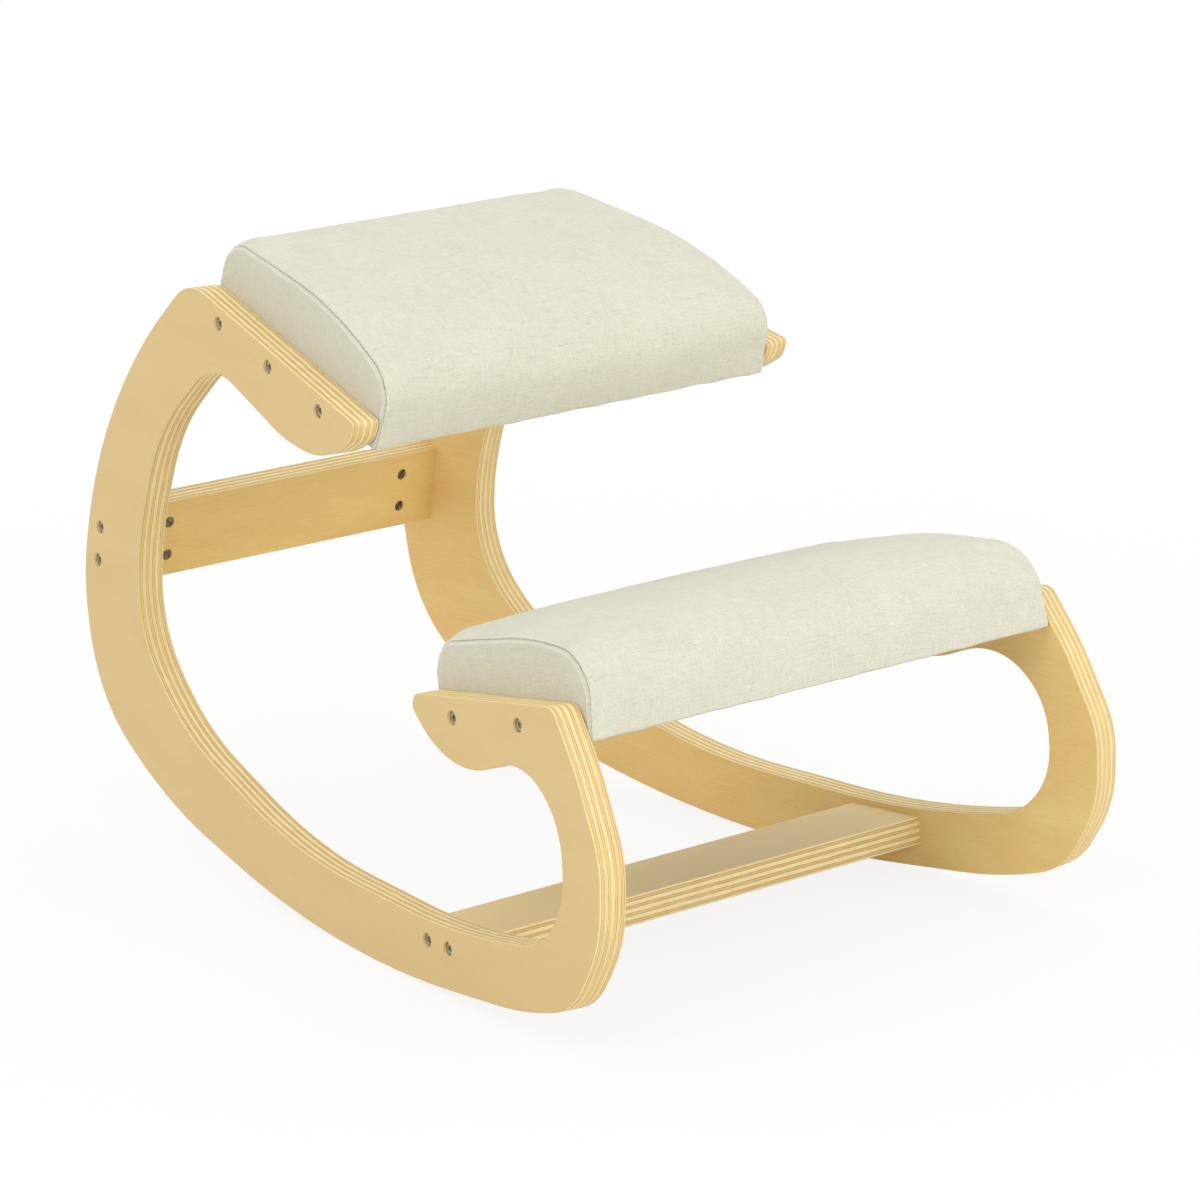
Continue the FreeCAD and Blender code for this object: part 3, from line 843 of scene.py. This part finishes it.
def shapeCloth(cushion, mesh, points, wrap):
    # groove and lips at the seam, pulls at the staples, and slight unevenness
    mesh.update()
    normals = np.empty(len(points) * 3)
    mesh.vertices.foreach_get("normal", normals)
    normals = normals.reshape(-1, 3)
    apart = wrap[:, 2]
    look = seamLook
    along = points @ np.array(cushion.plate["across"]) + points @ np.array(cushion.plate["normal"])
    pucker = 1 + look["puckerDepth"] * np.sin(2 * math.pi * along / look["pucker"])
    move = -look["groove"] * np.exp(-(apart / look["grooveWidth"]) ** 2)
    move += look["lip"] * pucker * np.exp(-((apart - look["lipAt"]) / look["lipWidth"]) ** 2)

    # the hem is drawn in at each staple and stands out a little at the corners
    look = hemLook
    height = points @ np.array(cushion.plate["normal"]) - cushion.top
    low = -cushion.thick - stuffing["cloth"]
    nearHem = np.exp(-np.maximum(height - low, 0.0) / look["reach"]) * (height > low + 0.6)
    pitch = look["pitch"]
    wave = np.cos(2 * math.pi * points[:, 0] / pitch) * (0.5 + 0.5 * np.sin(points[:, 0] * 2.3 / pitch))
    inset = frameGap(points[:, 1], points[:, 2]) - np.abs(points[:, 0])
    outside = np.clip((inset - 4.0) / 8.0, 0.0, 1.0)
    wrapped = np.abs(normals[:, 0]) < 0.7
    move -= look["scallop"] * nearHem * wave * outside * wrapped
    corner = np.exp(-((inset - look["cornerAt"]) / look["cornerWidth"]) ** 2) * nearHem
    move += look["cornerBulk"] * corner * wrapped

    broad, small = look["broad"], look["small"]
    for index, (x, y, z) in enumerate(points):
        hollow = noise.noise(Vector((x / broad, y / broad, z / broad + 5.0)))
        ripple = noise.noise(Vector((x / small, y / small, z / small + 9.0)))
        free = min(1.0, inset[index] / 12.0)
        move[index] += look["wander"] * (hollow + look["smallShare"] * ripple) * free
    moved = points + normals * move[:, None]

    # nothing reaches into the side frames
    limit = frameGap(moved[:, 1], moved[:, 2]) - look["fromFrame"]
    moved[:, 0] = np.clip(moved[:, 0], -limit, limit)
    mesh.vertices.foreach_set("co", (moved * mm).ravel())
    mesh.update()


# Sewing thread in the seam, one short stitch after another

def stitchRing(line, k, centre):
    # a ring of points round the thread, which dips into the cloth at both ends of its stitch
    look = seamLook
    last = look["rings"] - 1
    before, after = line[max(k - 1, 0)], line[min(k + 1, last)]
    ahead = (after - before) / np.linalg.norm(after - before)
    out = line[k] - centre
    out[0] = 0.0
    out -= ahead * np.dot(out, ahead)
    out /= np.linalg.norm(out)
    sideways = np.cross(ahead, out)
    dip = (2 * k / last - 1) ** 2 * look["dip"]
    middle = line[k] + out * (look["sunk"] - dip)
    size = look["thread"] * (look["tip"] if k in (0, last) else 1.0)
    ring = []
    for turn in range(look["around"]):
        angle = 2 * math.pi * turn / look["around"]
        ring.append(middle + (out * math.sin(angle) + sideways * math.cos(angle)) * size)
    return ring


def stitchRow(name, seam):
    look = seamLook
    steps = np.linalg.norm(np.diff(seam, axis=0), axis=1)
    far = np.concatenate(([0.0], np.cumsum(steps)))
    centre = np.array((0.0, seam[:, 1].mean(), seam[:, 2].mean()))
    rings, around = look["rings"], look["around"]
    vertices, faces = [], []
    start = look["gap"]
    while start + look["stitch"] < far[-1] - look["gap"]:
        at = np.linspace(start, start + look["stitch"], rings)
        line = np.stack([np.interp(at, far, seam[:, k]) for k in range(3)], 1)
        base = len(vertices)
        for k in range(rings):
            vertices += stitchRing(line, k, centre)
        for k in range(rings - 1):
            for turn in range(around):
                a = base + k * around + turn
                b = base + k * around + (turn + 1) % around
                faces.append((a, b, b + around, a + around))
        faces.append(tuple(base + turn for turn in reversed(range(around))))
        faces.append(tuple(base + (rings - 1) * around + turn for turn in range(around)))
        start += look["stitch"] + look["gap"]
    mesh = bpy.data.meshes.new(name)
    mesh.from_pydata((np.array(vertices) * mm).tolist(), [], faces)
    mesh.polygons.foreach_set("use_smooth", np.ones(len(faces), bool))
    mesh.materials.append(threadMaterial)
    piece = bpy.data.objects.new(name, mesh)
    scene.collection.objects.link(piece)
    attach(piece, body)


# Black cloth stapled under each board, with a turned-in rim

underLook = {
    "thick": 0.3, "rim": 9.0, "rimFold": 0.25, "lift": 0.25, "sag": 0.66, "sagReach": 40.0, "step": 5.0,
    "crease": 0.35, "creaseSize": 22.0,
}


def underCloth(name, cushion):
    look = underLook
    node = name + "_under_cloth"
    plate = plateOf(node, (0, 0, 1), (1, 0, 0))
    front, rear = plate["spans"]["across"]
    long = rear - front
    outer = plate["spans"]["thick"][0]
    up = np.array(plate["normal"])
    across = np.array(plate["across"])
    spots = np.array([vertex.co for vertex in nodes[node].data.vertices]) / mm
    frontReach = np.abs(spots[spots @ across < front + 1.0, 0]).max()
    rearReach = np.abs(spots[spots @ across > rear - 1.0, 0]).max()
    width = 2 * max(frontReach, rearReach)
    countU = int(width / look["step"])
    countV = int(long / look["step"])
    rows = []
    for j in range(countV + 1):
        v = j / countV
        half = frontReach + (rearReach - frontReach) * v
        row = []
        for i in range(countU + 1):
            u = 2 * i / countU - 1
            rim = min(half * (1 - abs(u)), long * min(v, 1 - v))
            inside = min(1.0, max(0.0, (rim - look["rim"]) / look["sagReach"]))
            sag = look["sag"] * math.sin(inside * math.pi / 2)
            spot = Vector((u * half / look["creaseSize"], v * long / look["creaseSize"], 4.0))
            crease = abs(noise.noise(spot)) * look["crease"] * (1 - inside)
            fold = look["rimFold"] if rim < look["rim"] else 0.0
            level = outer + look["lift"] - fold + crease - sag
            row.append(across * (front + v * long) + up * level + np.array((u * half, 0, 0)))
        rows.append(row)
    grid = np.array(rows)
    ids = np.arange(grid.shape[0] * grid.shape[1]).reshape(grid.shape[:2])
    piece = meshObject(name + "UnderCloth", grid.reshape(-1, 3), gridFaces(ids))
    thicken = piece.modifiers.new("Thickness", "SOLIDIFY")
    thicken.thickness = look["thick"] * mm
    thicken.offset = 0.0
    piece.data.polygons.foreach_set("use_smooth", np.ones(len(piece.data.polygons), bool))
    piece.data.materials.append(blackMaterial)
    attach(piece, body)
    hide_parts(node)
    area = (frontReach + rearReach) * long
    long * mm
    area * mm * mm


# Camera as in the photograph

camera = {"place": (-2642.3, -3136.9, 1375.2), "azimuth": -40.72, "elevation": 15.59, "angle": 12.845}


def setCamera():
    data = bpy.data.cameras.new("camera")
    data.angle = math.radians(camera["angle"])
    data.clip_end = 60.0
    eye = bpy.data.objects.new("camera", data)
    eye.location = Vector(camera["place"]) * mm
    eye.rotation_euler = (math.radians(90 - camera["elevation"]), 0.0, math.radians(camera["azimuth"]))
    scene.collection.objects.link(eye)
    scene.camera = eye


# Pale floor and soft studio light

studio = {
    "floorSize": 40000.0, "floorPaint": (0.9, 0.9, 0.9, 1.0),
    "clearFrom": 700.0, "clearTo": 1700.0, "nearClear": 0.84, "world": 0.97, "white": 1.0,
    "lamps": (    # name, place, size and power
        ("key", (-2600, -900, 2300), 1500, 13.0),
        ("fill", (900, -2700, 1300), 1800, 12.0),
        ("over", (200, 300, 3000), 2200, 2.0),
    ),
}


def setFloor():
    shader = material("paleFloor")
    away = shader.node("ShaderNodeVectorMath", {"operation": "LENGTH"}, {0: shader.place()}, "Value")
    clear = shader.rise(away, studio["clearFrom"] * mm, studio["clearTo"] * mm, studio["nearClear"], 1.0)
    paint = shader.node("ShaderNodeBsdfDiffuse", None, {"Color": studio["floorPaint"]})
    glow = shader.node("ShaderNodeEmission", None, {"Color": (1, 1, 1, 1), "Strength": studio["white"]})
    shader.end(shader.node("ShaderNodeMixShader", None, {0: clear * shader.seenRays(), 1: paint, 2: glow}))
    half = studio["floorSize"] / 2
    corners = np.array([(-half, -half, 0), (half, -half, 0), (half, half, 0), (-half, half, 0)])
    floor = meshObject("floor", corners, np.array([(0, 1, 2, 3)]))
    floor.data.materials.append(shader.owner)


def setWorld():
    scene.world = bpy.data.worlds.new("studio")
    shader = Shader(scene.world, "ShaderNodeOutputWorld")
    plain = shader.node("ShaderNodeBackground", None, {"Color": (1, 1, 1, 1), "Strength": studio["world"]})
    white = shader.node("ShaderNodeBackground", None, {"Color": (1, 1, 1, 1), "Strength": studio["white"]})
    shader.end(shader.node("ShaderNodeMixShader", None, {0: shader.seenRays(), 1: plain, 2: white}))


def setLamps():
    aim = [(low + high) / 2 for low, high in zip(*cadBox)]
    for name, place, size, power in studio["lamps"]:
        data = bpy.data.lights.new(name, "AREA")
        data.shape = "DISK"
        data.size = size * mm
        data.energy = power
        lamp = bpy.data.objects.new(name, data)
        lamp.location = Vector(place) * mm
        lamp.rotation_euler = (Vector(aim) - lamp.location).to_track_quat("-Z", "Y").to_euler()
        scene.collection.objects.link(lamp)


# Dress the plywood and the metal

plates = {    # the way the face looks, the way the grain runs, and the veneer
    "right_side_frame": ((-1, 0, 0), (0, 1, 0), "pale"),
    "left_side_frame": ((1, 0, 0), (0, 1, 0), "pale"),
    "rear_crossbar": ((0, 1, 0), (1, 0, 0), "golden"),
    "foot_stretcher": ((0, 0, 1), (1, 0, 0), "greyTan"),
    "seat_board": ((0, 0, 1), (1, 0, 0), "golden"),
    "knee_board": ((0, 0, 1), (1, 0, 0), "golden"),
}


def dress(node, finish):
    mesh = nodes[node].data
    mesh.materials.clear()
    mesh.materials.append(finish)


def dressFrame():
    for node, (facing, grain, veneer) in plates.items():
        dress(node, plywood(node + "Plywood", plateOf(node, facing, grain), veneer))
    for part, (name, tone, roughness) in metals.items():
        metal = zinc(name, tone, roughness)
        for node in nodes:
            if part in node:
                dress(node, metal)
    print("plywood and metal dressed")


scene.view_settings.view_transform = "Standard"
setCamera()
setWorld()
setLamps()
setFloor()
dressFrame()
threadMaterial = plainThread("seamThread")
blackMaterial = blackCloth("blackUnderCloth")
for name in cushions:
    underCloth(name, upholster(name))
